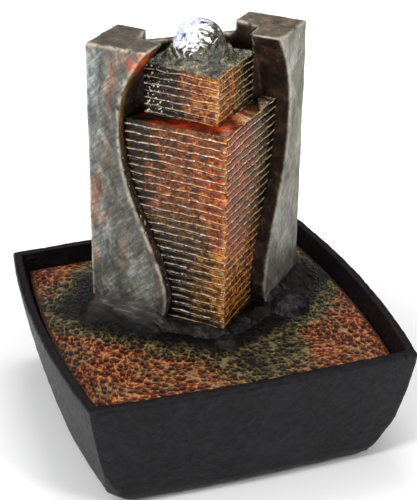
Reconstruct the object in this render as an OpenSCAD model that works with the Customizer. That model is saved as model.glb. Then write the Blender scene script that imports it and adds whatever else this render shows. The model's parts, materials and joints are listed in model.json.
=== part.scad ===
// Tabletop water fountain: a bowed square basin with a hidden pump, a lift-off deck that carries a
// split monolith around a ribbed column, and a glass ball that turns on the water at the top.
// Millimetres. Origin at the middle of the footprint, on the surface the fountain stands on. The
// front, where the column's corner points, faces -Y.

/* [Basin] */
// Height of the rim above the surface
rim_z = 78; // [74:1:84]
// Half of the width between corner ridges, at the rim
corner_half = 100; // [98:1:106]
// How far the left and right sides bow outwards
side_bow = 8; // [4:0.5:11]
// How far the front and back bow outwards
front_bow = 4; // [3:0.5:8]
// How far the left and right sides draw in from the rim to the base
side_draw = 17; // [13:1:20]
// How far the front and back draw in from the rim to the base
front_draw = 12; // [9:1:14]
// Wall thickness at the rim
rim_wall = 5.5; // [4.5:0.5:7]
// Thickness of the floor
floor_t = 6; // [5:0.5:7]
// Depth of the deck's surface below the rim
deck_drop = 11.4; // [8:0.2:14]

/* [Monolith] */
// X of the monolith's middle plane
stone_x = 6.6; // [-6:0.2:7]
// Length of each front face, from its outer edge to where the two would meet
face_w = 99; // [96:1:101]
// Y of the corner where the two front faces would meet
nose_y = -38; // [-42:0.5:-34]
// Height of the two steles' tops above the rim
stele_rise = 165; // [150:1:175]
// Width of a stele at its foot
foot_w = 53; // [46:1:54]
// Width of a stele at its waist
waist_w = 21; // [18:1:23]
// Width of a stele at its top
tip_w = 41; // [34:1:44]
// Height of the waist above the rim
waist_rise = 118; // [105:1:125]
// Depth of the niche behind each front face
niche_d = 21; // [19:0.5:23]

// How far a stele's foot curls back at the bottom
foot_curl = 4; // [0:1:9]

/* [Column] */
// X of the column's corner and of the hose
tower_x = 4.6; // [-8:0.2:6]
// Distance of the column's corner behind the corner of the front faces
column_back = 11.4; // [10:0.2:13]
// Side of the column
column_w = 71; // [68:1:73]
// Height of the column's ledge above the rim
ledge_rise = 120; // [114:1:124]
// Side of the upper block
block_w = 49; // [47:1:52]
// Height of the upper block's top above the rim
block_rise = 151.5; // [146:0.5:154]
// Height of one rib and its groove
rib_pitch = 5.2; // [4:0.1:7]
// Depth of the grooves between ribs
groove_d = 1.6; // [0.8:0.1:2.4]

/* [Ball and light] */
// Diameter of the glass ball
ball_d = 32; // [30:0.5:32]
// Depth of the ball's lowest point below the upper block's top
ball_sink = 8; // [7:0.5:8.5]

/* [Pump] */
// Outer diameter of the delivery hose
hose_d = 12; // [11:0.5:12]
// Outer diameter of the pump's outlet spigot
spigot_d = 8; // [7:0.5:8]
// Outer diameter of the impeller chamber
chamber_d = 30; // [28:1:31]

/* [Hidden] */
$fn = 64;
bow_fn = 360;
run = 0.05;                    // radial clearance of a running fit
eps = 0.01;

pad_h = 2;                     // how far the feet stand out below the base
base_z = pad_h;
floor_z = base_z + floor_t;
deck_z = rim_z - deck_drop;
deck_t = 4;
deck_gap = 0.8;                // clearance round the deck
bumper_h = 1;
return_x = 27;                 // middle of the slots where the water runs back
return_l = 36;
ledge_z = deck_z - deck_t - bumper_h;
ledge_w = 7.5;                 // width of the ledge the deck stands on
wall_low = rim_wall + 2 + ledge_w;
base_round = 8;
ridge_draw = 28;               // how far the corner ridges draw in towards the base
draw_power = 1.3;

plinth_h = 2.4;
plinth_steps = [[13, 1.2], [9, plinth_h], [4.5, 5.4]]; // [how far out past the stone, height]
nose_cut = 12;                 // how much of the plinth's front corner is cut off
boulder_r = 12;
boulder_h = 9.6;
boulder_x = 58;
boulder_y = -6;
stone_z = deck_z + plinth_h;   // underside of the monolith and the column
stele_z = rim_z + stele_rise;
waist_z = rim_z + waist_rise;
wall_top_z = stele_z - 8;      // the back wall stops a little below the steles
stele_back = 39;               // length of a stele's outer side face
stele_rear = 20;               // from that side face to where the back wall starts
wall_t = 5.4;                  // thickness of the back wall
stone_rear = stele_rear - wall_t * sqrt(2); // from the side face to where the wall's outside starts
curl_z = rim_z + 8;            // below this the steles' feet curl back
half_diag = face_w * sqrt(0.5);
block_y = nose_y + half_diag;
column_z = rim_z + ledge_rise;
block_z = rim_z + block_rise;
axis_y = nose_y + column_back + column_w * sqrt(0.5);

ball_r = ball_d / 2;
ball_z = block_z - ball_sink + ball_r;
seat_gap = 0.3;
cup_r = 14.6;
cup_z = block_z - 11;          // underside of the cup
cup_h = 9.5;
cup_rim = 3;                   // thickness of the flange that the cup rests on
cup_hole = 5;
dish_r = 19.5;
dish_t = 5.5;
dish_hollow = 1.5;             // depth of the hollow in the dish's top
lamp_r = 16;
lamp_z = block_z - 24.5;       // underside of the lamp
lamp_h = 12;
lamp_wall = 1.5;
lens_t = 2.5;
lens_lip = 0.8;                // housing wall left outside the lens
tube_r = 6.2;                  // clearance hole round the lamp's middle tube
board_t = 1.6;
led_r = 2.5;
led_ring = 10.8;
seal_r = 0.75;
barb_l = 13;
flange_r = 7;                  // nozzle's flange under the lamp
flange_t = 1.5;
lead_off = 9.5;                // distance of the lamp's lead from the hose's axis
lead_r = 1.4;
lead_end = deck_z - deck_t - 4; // lower end of the lamp's lead
plug_r = 3;                    // lead's connector
clip_z = deck_z - deck_t - 12;
clip_r = 4.2;
hose_clip_h = 6;
shaft_channel_r = 12;

pump_x = tower_x;
pump_y = axis_y;               // middle of the outlet spigot
pump_z = floor_z + 19;         // rotor axis
// Heights Y along the rotor, in the pump's own frame with its origin under the spigot
cover_y = -22;                 // outer face of the intake cover
cover_t = 2;
shaft_y = -8;
chamber_y = -10;
chamber_wall = 2;
gasket_y = 4.2;
motor_y = 5;
core_y = 9;
core_back = 31;
shaft_end = 28.5;
well_end = 29.5;
potting_y = 37;
motor_end = 40;
chamber_r = chamber_d / 2;
cover_r = chamber_r + 2.2;
motor_w = 38;
motor_h = 30;
motor_skin = 2.4;
lug_r = 2.2;
spigot_top = floor_z + 47;
hose_bottom = floor_z + 39;
bore_r = 2.6;                  // water's way through the spigot and the nozzle
well_r = 9;                    // rotor well
well_skin = 1.4;
shaft_r = 1;
rotor_r = 8.2;
wheel_r = 11;
gland_x = 9;
gland_z = 6;
stub_r = 2;                    // stub that the regulator turns on
slot_w = 2.2;
screw_r = 2;
grommet_z = ledge_z - 9.5;
grommet_x = -32;
grommet_r = 6;
cord_r = 2.8;

BLACK = [0.09, 0.09, 0.1];
RUBBER = [0.13, 0.13, 0.14];
PLASTIC = [0.16, 0.17, 0.18];
PEWTER = [0.4, 0.38, 0.36];
COPPER = [0.55, 0.27, 0.12];
RUST = [0.6, 0.29, 0.16];
STEEL = [0.7, 0.7, 0.72];
CLEAR = [0.85, 0.9, 0.95, 0.35];

// ---- basin ----

function bow_radius(bow) = (corner_half * corner_half + bow * bow) / (2 * bow);

// How far down the basin's height z is, from 0 at the rim to 1 at the base
function depth(z) = max(0, rim_z - z) / (rim_z - base_z);

// The rounding where the sides meet the base
function tuck(z) = z < base_z + base_round
    ? base_round - sqrt(max(0, pow(base_round, 2) - pow(base_z + base_round - z, 2))) : 0;

// One bowed side as a turned solid. Each level is [height, distance inside the outer face], and the
// outer face itself draws in towards the base.
module bowed_side(bow, draw, levels) {
    radius = bow_radius(bow);
    first = levels[0][0];
    last = levels[len(levels) - 1][0];
    translate([corner_half + bow - radius, 0, 0]) rotate_extrude($fn = bow_fn)
        polygon(concat([[0, first]],
            [for (p = levels) [radius - p[1] - draw * pow(depth(p[0]), draw_power), p[0]]], [[0, last]]));
}

// A four-sided solid with bowed sides that meet in ridges
module bowed_block(levels)
    intersection() {
        bowed_side(side_bow, side_draw, levels);
        rotate(90) bowed_side(front_bow, front_draw, levels);
        rotate(180) bowed_side(side_bow, side_draw, levels);
        rotate(270) bowed_side(front_bow, front_draw, levels);
    }

// Rounds off the four ridges towards the base. wall is the distance inside the outer surface.
module ridge_trim(levels, wall)
    rotate_extrude($fn = 180)
        polygon(concat([[0, levels[0][0]]],
            [for (p = levels) [corner_half * sqrt(2) + 3 - ridge_draw * pow(depth(p[0]), 1.6)
                - (wall > 0 ? wall : p[1]), p[0]]],
            [[0, levels[len(levels) - 1][0]]]));

module basin_shell() {
    steps = 10;
    wall_steps = 6;
    low = [for (i = [0 : 3]) base_z + base_round * (1 - cos(30 * i))];
    high = [for (i = [1 : steps]) base_z + base_round + (rim_z - 1.5 - base_z - base_round) * i / steps];
    outside = concat([for (z = concat(low, high)) [z, tuck(z)]], [[rim_z, 1.2]]);
    under = [for (i = [0 : wall_steps]) [floor_z + (ledge_z - floor_z) * i / wall_steps, wall_low]];
    color(BLACK) difference() {
        intersection() {
            bowed_block(outside);
            ridge_trim(outside, 0);
        }
        intersection() {
            bowed_block(under);
            ridge_trim(under, wall_low);
        }
        bowed_block([[ledge_z - eps, rim_wall + 2], [rim_z + 1, rim_wall]]);
        foot_places() translate([0, 0, base_z - 1]) cylinder(r = 9, h = 2);
        grommet_place() {
            translate([0, 0, -40]) cylinder(r = grommet_r, h = 60);
            cylinder(r = 9.5, h = 20);
        }
    }
}

module foot_places()
    for (x = [-1, 1], y = [-1, 1]) translate([x * 62, y * 62, 0]) children();

module foot_pads()
    color(RUBBER) foot_places() cylinder(r = 9, h = pad_h + 1);

// Outer end of the cord's way out, on the seat of its flange, looking out of the back wall
module grommet_place()
    translate([grommet_x, corner_half + front_bow - 7.5, grommet_z]) rotate([-90, 0, 0]) children();

module cord_grommet()
    color(RUBBER) grommet_place() difference() {
        union() {
            translate([0, 0, -14]) cylinder(r = grommet_r, h = 14);
            cylinder(r = 9, h = 2.5);
            translate([0, 0, 2.5]) cylinder(r1 = 6, r2 = 5, h = 2.5);
        }
        translate([0, 0, -15]) cylinder(r = cord_r, h = 22);
    }

// ---- pump, in its own frame: rotor along +Y, spigot over the frame's origin ----

module pump_place() translate([pump_x, pump_y, pump_z]) children();

// A round bar along +Y from y0 to y1
module bar(r, y0, y1, r2 = -1)
    translate([0, y0, 0]) rotate([-90, 0, 0]) cylinder(r1 = r, r2 = r2 < 0 ? r : r2, h = y1 - y0);

// A block along +Y, centred on the rotor's axis
module block(w, h, y0, y1) translate([-w / 2, y0, -h / 2]) cube([w, y1 - y0, h]);

module spokes(first = 0, step = 45) for (a = [first : step : 359]) rotate([0, a, 0]) children();

module cup_spots() for (x = [-13, 13], y = [11, 34]) translate([x, y, -motor_h / 2]) children();

module lug_spots() for (x = [-16.5, 16.5], z = [-12.5, 12.5]) translate([x, 0, z]) children();

module gland_place() translate([gland_x, 0, gland_z]) children();

module pump_housing()
    color(PLASTIC) pump_place() difference() {
        union() {
            block(motor_w, motor_h, motor_y, motor_end);
            lug_spots() bar(lug_r, chamber_wall, motor_y);
        }
        difference() {
            block(motor_w - 2 * motor_skin, motor_h - 2 * motor_skin, motor_y + motor_skin, motor_end + 1);
            bar(well_r + well_skin, motor_y, core_back);
        }
        bar(well_r, motor_y - 1, well_end);
        cup_spots() translate([0, 0, -1]) cylinder(r = 2, h = 3);
    }

module stator_core()
    color(STEEL) pump_place() difference() {
        union() {
            for (x = [-13, 13]) translate([x, 0, 0]) block(5, 14, core_y, core_back + 4);
            block(21, 8, core_back, core_back + 4);
        }
        bar(well_r + well_skin, motor_y, core_back);
    }

module stator_coil()
    color([0.6, 0.32, 0.12]) pump_place() difference() {
        block(16, 18, core_back, potting_y);
        block(18, 8, core_back - 1, core_back + 4);
    }

module potting_plug()
    color([0.1, 0.1, 0.11]) pump_place() difference() {
        block(motor_w - 2 * motor_skin, motor_h - 2 * motor_skin, potting_y, motor_end);
        gland_place() bar(2.4, potting_y - 1, motor_end + 1);
    }

module rotor_shaft() color([0.9, 0.9, 0.88]) pump_place() bar(shaft_r, shaft_y, shaft_end);

module rear_bush()
    color(RUBBER) pump_place() difference() {
        bar(4, shaft_end - 2, well_end);
        bar(shaft_r, shaft_end - 3, shaft_end);
    }

module front_bush()
    color(RUBBER) pump_place() difference() {
        bar(2.6, shaft_y - 1, shaft_y + 2);
        bar(shaft_r, shaft_y, shaft_y + 3);
    }

module volute()
    color(PLASTIC) pump_place() difference() {
        union() {
            bar(chamber_r, chamber_y, motor_y);
            for (x = [-1, 1], z = [-1, 1]) hull() {
                translate([x * 16.5, 0, z * 12.5]) bar(lug_r, 0.5, chamber_wall);
                translate([x * 9, 0, z * 9]) bar(lug_r, 0.5, chamber_wall);
            }
            cylinder(r = spigot_d / 2, h = spigot_top - pump_z);
            cylinder(r = spigot_d / 2 + 1.5, h = chamber_r + 2.5);
        }
        translate([-chamber_d, gasket_y, -chamber_d]) cube(2 * chamber_d);
        bar(wheel_r + 1.2, chamber_y + 4.5, 3);
        bar(well_r, 2, motor_y + 1);
        difference() {
            bar(6, chamber_y - 1, chamber_y + 5);
            bar(3.8, chamber_y - 1, chamber_y + 5);
            spokes(step = 120) translate([-1, chamber_y - 1, 0]) cube([2, 6, 8]);
        }
        bar(2.6, shaft_y - 1, shaft_y + 3);
        translate([0, 0, 6]) cylinder(r = bore_r, h = 40);
    }

module volute_seal()
    color([0.5, 0.16, 0.12]) pump_place() difference() {
        bar(chamber_r - 1, gasket_y, motor_y);
        bar(well_r + 0.4, gasket_y - 1, motor_y + 1);
    }

module suction_cups()
    color(RUBBER) pump_place() cup_spots() rotate_extrude()
        polygon([[0, 2], [2, 2], [2, 0], [4.5, 0], [4.5, -1], [3, -1.6], [7, -3.6], [7, -4], [5.8, -4],
            [2.4, -2.4], [0, -2.2]]);

module cable_gland()
    color(RUBBER) pump_place() gland_place() difference() {
        union() {
            bar(2.4, potting_y + 0.5, motor_end);
            bar(4, motor_end, motor_end + 6, 3.2);
        }
        bar(1.8, motor_end + 1, motor_end + 7);
    }

module rotor_magnet()
    color([0.22, 0.2, 0.19]) pump_place() difference() {
        bar(rotor_r, motor_y + 1, motor_y + 21);
        bar(shaft_r + run, motor_y, motor_y + 22);
    }

module impeller_wheel()
    color([0.85, 0.85, 0.82]) pump_place() difference() {
        union() {
            bar(4.2, -4.8, motor_y + 1);
            bar(wheel_r, 0.6, 2);
            spokes(step = 60) translate([0, -4, -0.6]) cube([wheel_r, 5, 1.2]);
        }
        bar(shaft_r + run, -6, motor_y + 2);
    }

module intake_cover()
    color(PLASTIC) pump_place() difference() {
        union() {
            bar(cover_r, cover_y, -6);
            bar(cover_r + 1, -7.5, -6);
        }
        bar(chamber_r + run, cover_y + cover_t, -5);
        bar(stub_r + run, cover_y - 1, cover_y + cover_t + 1);
        spokes() translate([5, cover_y - 1, -slot_w / 2]) cube([7, 4, slot_w]);
        spokes(22.5) translate([chamber_r - 2, cover_y + 4, -1]) cube([6, 6, 2]);
    }

module filter_sponge()
    color([0.12, 0.13, 0.15]) pump_place() difference() {
        bar(chamber_r - 0.6, cover_y + cover_t, chamber_y - 0.4);
        bar(3.6, cover_y, chamber_y);
    }

module flow_regulator()
    color([0.55, 0.57, 0.6]) pump_place() difference() {
        union() {
            bar(12.4, cover_y - 1.8, cover_y - 0.2);
            bar(stub_r, cover_y - 0.5, cover_y + cover_t + 0.6);
            bar(3.2, cover_y + cover_t + 0.1, cover_y + cover_t + 1);
            translate([-8, cover_y - 4.5, -1.2]) cube([16, 2.9, 2.4]);
        }
        spokes() translate([5, cover_y - 2.5, -slot_w / 2]) cube([6, 3, slot_w]);
    }

// ---- deck ----

module axis_place() translate([tower_x, axis_y, 0]) children();

function screw_spots() = [[stone_x - 46, axis_y + 1], [stone_x + 46, axis_y + 1],
    [tower_x, axis_y - 23], [tower_x, axis_y + 16.5]];

module screw_holes(z, h)
    for (p = screw_spots()) translate([p[0], p[1], z]) cylinder(r = screw_r + run, h = h);

module deck_slots()
    for (x = [-1, 1]) translate([x * return_x - return_l / 2, 70, deck_z - deck_t - 1])
        cube([return_l, 9, deck_t + 2]);

module deck() {
    inset = rim_wall + 2 + deck_gap;
    color(RUST) difference() {
        bowed_block([[deck_z - deck_t, inset], [deck_z, inset]]);
        axis_place() translate([0, 0, deck_z - deck_t - 1]) cylinder(r = shaft_channel_r, h = deck_t + 2);
        screw_holes(deck_z - deck_t - 1, deck_t + 2);
        deck_slots();
    }
}

module deck_bumpers()
    color([0.75, 0.75, 0.72]) for (a = [0, 90, 180, 270], s = [-1, 1])
        rotate(a) translate([s * 55, corner_half - (a % 180 == 0 ? 10 : 8), ledge_z])
            cylinder(r = 2.6, h = bumper_h);

module deck_screws()
    color(STEEL) for (p = screw_spots()) translate([p[0], p[1], deck_z - deck_t - 2.4]) difference() {
        union() {
            cylinder(r = 3.8, h = 2.4);
            cylinder(r = screw_r, h = 2.4 + deck_t + plinth_h + 9);
        }
        for (a = [0, 90]) rotate(a) translate([-2.2, -0.4, -1]) cube([4.4, 0.8, 2.2]);
    }

// ---- stone pieces, in a frame with u along the left front face and v square to it ----

module stone_place() translate([stone_x - half_diag, block_y, 0]) rotate(-45) children();

// Twice: as it is, and mirrored in the middle plane
module mirrored_too() {
    children();
    translate([2 * stone_x, 0, 0]) mirror([1, 0, 0]) children();
}

// Width of a stele at height z: a narrow waist, a flared top and a broad foot that curls back
function stele_w(z) = z > waist_z
    ? waist_w + (tip_w - waist_w) * pow((z - waist_z) / (stele_z - waist_z), 2)
    : waist_w + (foot_w - waist_w) * (1 - cos(180 * pow((waist_z - z) / (waist_z - rim_z), 1.2))) / 2
        - foot_curl * pow(max(0, curl_z - z) / (curl_z - deck_z), 2);

module niche() {
    steps = 22;
    bottom = stone_z - 1;
    top = stele_z + 1;
    edge = [for (i = [0 : steps]) let (z = bottom + (top - bottom) * i / steps) [stele_w(z), z]];
    mirrored_too() stone_place() translate([0, niche_d, 0]) rotate([90, 0, 0])
        linear_extrude(niche_d + 5) polygon(concat(edge, [[face_w + 8, top], [face_w + 8, bottom]]));
    back = niche_d - 0.5;
    half = [[face_w - back, back], [tip_w, back], [stele_rear + 5, back + 1.5], [stele_rear, stele_back]];
    stone_place() translate([0, 0, bottom]) linear_extrude(top - bottom)
        polygon(concat(half, [for (i = [3 : -1 : 1]) across(half[i])]));
}

// A point of the plan mirrored in the middle plane
function across(p) = [face_w - p[1], face_w - p[0]];

// Corners of a plan: the left half's, and then the same on the right in the opposite order
function both(half) = concat(half, [for (i = [len(half) - 1 : -1 : 0]) across(half[i])]);

module stone_plan()
    polygon(concat(both([[0, 0], [0, stele_back], [stone_rear, stele_back]]), [[face_w, 0]]));

// The same grown by e, with its corners cut off
module skirt_plan(e)
    polygon(concat(both([[0, -e], [-e, 0], [-e, stele_back], [0, stele_back + e],
        [stone_rear - e * (sqrt(2) - 1), stele_back + e]]),
        [[face_w + e, nose_cut], [face_w - nose_cut, -e]]));

module rock_plinth()
    color([0.07, 0.07, 0.07]) difference() {
        union() {
            for (step = plinth_steps)
                stone_place() translate([0, 0, deck_z]) linear_extrude(step[1]) skirt_plan(step[0]);
            translate([boulder_x, boulder_y, deck_z]) intersection() {
                sphere(r = boulder_r);
                cylinder(r = boulder_r, h = boulder_h);
            }
        }
        stone_place() translate([0, 0, stone_z]) linear_extrude(20) stone_plan();
        axis_place() translate([0, 0, deck_z - 1]) cylinder(r = shaft_channel_r, h = plinth_h + 2);
        screw_holes(deck_z - 1, plinth_h + 2);
    }

module monolith() {
    past_top = 20;
    color(PEWTER) difference() {
        stone_place() translate([0, 0, stone_z]) linear_extrude(stele_z - stone_z) stone_plan();
        niche();
        stone_place() translate([0, 0, wall_top_z]) linear_extrude(past_top)
            polygon(both([[stone_rear - 2, stele_back + past_top], [stone_rear - 2, stele_back],
                [stele_rear + 1, stele_back]]));
        screw_holes(stone_z - 1, 10);
    }
}

// Ribs and grooves: a square stack of side w about the hose's axis, with one corner to the front
module ribbed_stack(w, z0, z1) {
    count = round((z1 - z0) / rib_pitch);
    pitch = (z1 - z0) / count;
    core = w - 2 * groove_d;
    axis_place() rotate(-45) {
        translate([-core / 2, -core / 2, z0]) cube([core, core, z1 - z0]);
        for (i = [0 : count - 1])
            translate([-w / 2, -w / 2, z0 + (i + 0.25) * pitch]) cube([w, w, pitch * 0.75]);
    }
}

module column_lower()
    color(COPPER) difference() {
        intersection() {
            ribbed_stack(column_w, stone_z, column_z);
            niche();
        }
        axis_place() translate([0, 0, stone_z - 1]) cylinder(r = shaft_channel_r, h = 200);
        screw_holes(stone_z - 1, 10);
    }

module column_upper()
    color(COPPER) difference() {
        intersection() {
            ribbed_stack(block_w, column_z, block_z);
            niche();
        }
        axis_place() {
            translate([0, 0, column_z - 1]) cylinder(r = shaft_channel_r, h = 60);
            translate([0, 0, lamp_z]) cylinder(r = lamp_r + 0.2, h = 60);
            translate([0, 0, block_z - dish_t]) cylinder(r = dish_r, h = 20);
        }
    }

// ---- top of the column, turned about the hose's axis ----

module spout_dish()
    color([0.13, 0.14, 0.13]) axis_place() difference() {
        translate([0, 0, block_z - dish_t]) cylinder(r = dish_r, h = dish_t);
        translate([0, 0, block_z - dish_t - 1]) cylinder(r = cup_r, h = dish_t + 2);
        translate([0, 0, block_z - dish_hollow])
            cylinder(r1 = cup_r + 0.9, r2 = dish_r, h = dish_hollow + eps);
    }

module ball_cup()
    color(CLEAR) axis_place() difference() {
        translate([0, 0, cup_z]) {
            cylinder(r = cup_r, h = cup_h);
            cylinder(r = lamp_r, h = cup_rim);
        }
        translate([0, 0, ball_z]) sphere(r = ball_r + seat_gap);
        translate([0, 0, cup_z - 1]) cylinder(r = cup_hole, h = 20);
    }

module spout_nozzle()
    color([0.75, 0.78, 0.8]) axis_place() difference() {
        union() {
            translate([0, 0, lamp_z - flange_t - barb_l]) cylinder(r = spigot_d / 2, h = barb_l + 1);
            translate([0, 0, lamp_z - flange_t]) cylinder(r = flange_r, h = flange_t);
            translate([0, 0, lamp_z]) cylinder(r = cup_hole, h = cup_z + 2 - lamp_z);
        }
        translate([0, 0, lamp_z - flange_t - barb_l - 1]) cylinder(r = bore_r, h = 60);
    }

module delivery_hose()
    color([0.8, 0.84, 0.86, 0.6]) ring(spigot_d / 2 + run, hose_d / 2, hose_bottom,
        lamp_z - flange_t - hose_bottom);

module hose_clips()
    color(PLASTIC) axis_place() for (z = [deck_z + 28, deck_z + 92]) translate([0, 0, z]) difference() {
        union() {
            cylinder(r = hose_d / 2 + 1.2, h = hose_clip_h);
            translate([lead_off, 0, 0]) cylinder(r = lead_r + 0.9, h = hose_clip_h);
            translate([hose_d / 2, -1.2, 0]) cube([lead_off - hose_d / 2, 2.4, hose_clip_h]);
        }
        translate([0, 0, -1]) cylinder(r = hose_d / 2, h = hose_clip_h + 2);
        translate([lead_off, 0, -1]) cylinder(r = lead_r, h = hose_clip_h + 2);
    }

// A ring with a rectangular section
module ring(r0, r1, z, h)
    axis_place() translate([0, 0, z]) difference() {
        cylinder(r = r1, h = h);
        translate([0, 0, -1]) cylinder(r = r0, h = h + 2);
    }

module lamp_housing()
    color(PLASTIC) difference() {
        ring(cup_hole, lamp_r, lamp_z, lamp_h);
        ring(tube_r, lamp_r - 1.6, lamp_z + lamp_wall, lamp_h);
        ring(tube_r, lamp_r - lens_lip, lamp_z + lamp_h - lens_t, lens_t + 1);
    }

module lamp_board()
    color([0.12, 0.35, 0.2]) ring(tube_r + 0.2, lamp_r - 1.8, lamp_z + lamp_wall, board_t);

module lamp_leds()
    color([0.95, 0.93, 0.8]) axis_place() for (a = [0 : 60 : 359]) rotate(a)
        translate([led_ring, 0, lamp_z + lamp_wall + board_t]) {
            cylinder(r = led_r, h = 2);
            intersection() {
                translate([0, 0, 2]) sphere(r = led_r);
                translate([-led_r, -led_r, 2]) cube(2 * led_r);
            }
        }

module lamp_lens() color(CLEAR) ring(tube_r, lamp_r - lens_lip, lamp_z + lamp_h - lens_t, lens_t);

module lamp_seal()
    color([0.5, 0.16, 0.12]) axis_place() translate([0, 0, lamp_z + lamp_h + seal_r]) rotate_extrude()
        translate([lamp_r - 2.5, 0]) circle(r = seal_r);

module lamp_lead()
    color(RUBBER) axis_place() translate([lead_off, 0, lead_end]) cylinder(r = lead_r, h = lamp_z - lead_end);

module lead_connector()
    color([0.2, 0.2, 0.2]) axis_place() translate([lead_off, 0, lead_end - 12]) difference() {
        union() {
            cylinder(r = plug_r, h = 10);
            translate([0, 0, 10]) cylinder(r1 = plug_r, r2 = 2, h = 2);
        }
        translate([0, 0, -1]) cylinder(r = 1.9, h = 6);
    }

// A split sleeve round the connector, on an arm that hangs from the deck
module connector_clip()
    color(PLASTIC) axis_place() translate([lead_off, 0, clip_z]) difference() {
        union() {
            cylinder(r = clip_r, h = 5);
            translate([2, -2.5, 0]) cube([10, 5, 2]);
            translate([9, -2.5, 0]) cube([3, 5, deck_z - deck_t - clip_z]);
        }
        translate([0, 0, -1]) cylinder(r = plug_r, h = 30);
        translate([-clip_r - 1, -5, -1]) cube([clip_r - 1.2, 10, 12]);
    }

module glass_ball() color(CLEAR) axis_place() translate([0, 0, ball_z]) sphere(r = ball_r);

basin_shell();
foot_pads();
cord_grommet();
pump_housing();
stator_core();
stator_coil();
potting_plug();
rotor_shaft();
rear_bush();
front_bush();
volute();
volute_seal();
suction_cups();
cable_gland();
rotor_magnet();
impeller_wheel();
intake_cover();
filter_sponge();
flow_regulator();
deck();
deck_bumpers();
rock_plinth();
monolith();
column_lower();
column_upper();
spout_dish();
ball_cup();
spout_nozzle();
delivery_hose();
hose_clips();
lamp_housing();
lamp_board();
lamp_leds();
lamp_lens();
lamp_seal();
lamp_lead();
lead_connector();
connector_clip();
deck_screws();
glass_ball();
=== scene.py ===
"""The tabletop fountain's looks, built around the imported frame. Metres, +Z up, front towards -Y."""
import json
import math

import bpy
import numpy as np
from mathutils import Matrix, Vector, geometry, noise
from mathutils.bvhtree import BVHTree


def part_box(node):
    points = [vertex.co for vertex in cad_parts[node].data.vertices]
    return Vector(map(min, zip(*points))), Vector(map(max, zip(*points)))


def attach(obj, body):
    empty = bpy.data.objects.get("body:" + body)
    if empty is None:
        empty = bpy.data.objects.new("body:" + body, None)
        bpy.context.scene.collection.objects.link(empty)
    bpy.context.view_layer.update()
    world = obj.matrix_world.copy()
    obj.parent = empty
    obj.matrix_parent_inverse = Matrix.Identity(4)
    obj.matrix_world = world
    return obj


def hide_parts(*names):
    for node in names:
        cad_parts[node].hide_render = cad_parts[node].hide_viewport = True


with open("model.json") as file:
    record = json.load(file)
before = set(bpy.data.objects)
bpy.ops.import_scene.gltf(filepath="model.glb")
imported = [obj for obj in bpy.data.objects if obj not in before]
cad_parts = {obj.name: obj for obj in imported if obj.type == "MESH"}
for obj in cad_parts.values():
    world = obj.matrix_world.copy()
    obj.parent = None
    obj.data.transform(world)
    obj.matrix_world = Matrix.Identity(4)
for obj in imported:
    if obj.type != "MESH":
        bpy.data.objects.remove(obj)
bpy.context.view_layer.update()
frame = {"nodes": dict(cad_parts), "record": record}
MM = 0.001
HALF_ROOT = math.sqrt(0.5)
CHANNEL = 12 * MM  # radius of the hose's way through the deck, the rock and the column


# ---- camera, floor and lights ----

def aim(thing, target):
    """Turns a camera or lamp to look at target."""
    thing.rotation_mode = "QUATERNION"
    thing.rotation_quaternion = (Vector(target) - thing.location).to_track_quat("-Z", "Y")


def add_camera():
    azimuth, elevation, roll = (math.radians(a) for a in (-19.67, 27.65, 0.75))
    target = Vector((0.0043, -0.0016, 0.1121))
    distance = 0.8583
    data = bpy.data.cameras.new("camera")
    data.lens = 100.1
    data.shift_x, data.shift_y = -0.005, 0.003
    camera = bpy.data.objects.new("camera", data)
    camera.location = target + distance * Vector((
        math.sin(azimuth) * math.cos(elevation),
        -math.cos(azimuth) * math.cos(elevation),
        math.sin(elevation)))
    bpy.context.collection.objects.link(camera)
    aim(camera, target)
    camera.rotation_quaternion = (
        camera.rotation_quaternion @ Matrix.Rotation(roll, 3, "Z").to_quaternion())
    bpy.context.scene.camera = camera


def add_lamp(name, place, size, power):
    data = bpy.data.lights.new(name, "AREA")
    data.shape = "RECTANGLE"
    data.size, data.size_y = size
    data.energy = power
    lamp = bpy.data.objects.new(name, data)
    lamp.location = place
    bpy.context.collection.objects.link(lamp)
    aim(lamp, (0, 0, 0.1))


def add_world():
    """A studio that is bright overhead and to the left, and dim behind."""
    world = bpy.data.worlds.new("studio")
    world.use_nodes = True
    tree = world.node_tree
    way = tree.nodes.new("ShaderNodeSeparateXYZ")
    tree.links.new(tree.nodes.new("ShaderNodeTexCoord").outputs["Generated"], way.inputs[0])
    level = None
    for axis, dark_at, bright_at, strength in (("Z", 0.55, 0.9, 0.8), ("X", -0.35, -0.85, 0.5)):
        band = tree.nodes.new("ShaderNodeMapRange")
        band.interpolation_type = "SMOOTHSTEP"
        band.inputs["From Min"].default_value = dark_at
        band.inputs["From Max"].default_value = bright_at
        band.inputs["To Max"].default_value = strength
        tree.links.new(way.outputs[axis], band.inputs["Value"])
        total = tree.nodes.new("ShaderNodeMath")
        tree.links.new(band.outputs["Result"], total.inputs[0])
        total.inputs[1].default_value = 0.07
        if level:
            tree.links.new(level, total.inputs[1])
        level = total.outputs[0]
    tree.links.new(level, tree.nodes["Background"].inputs["Strength"])
    tree.nodes["Background"].inputs["Color"].default_value = (1, 1, 1, 1)
    bpy.context.scene.world = world


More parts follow.
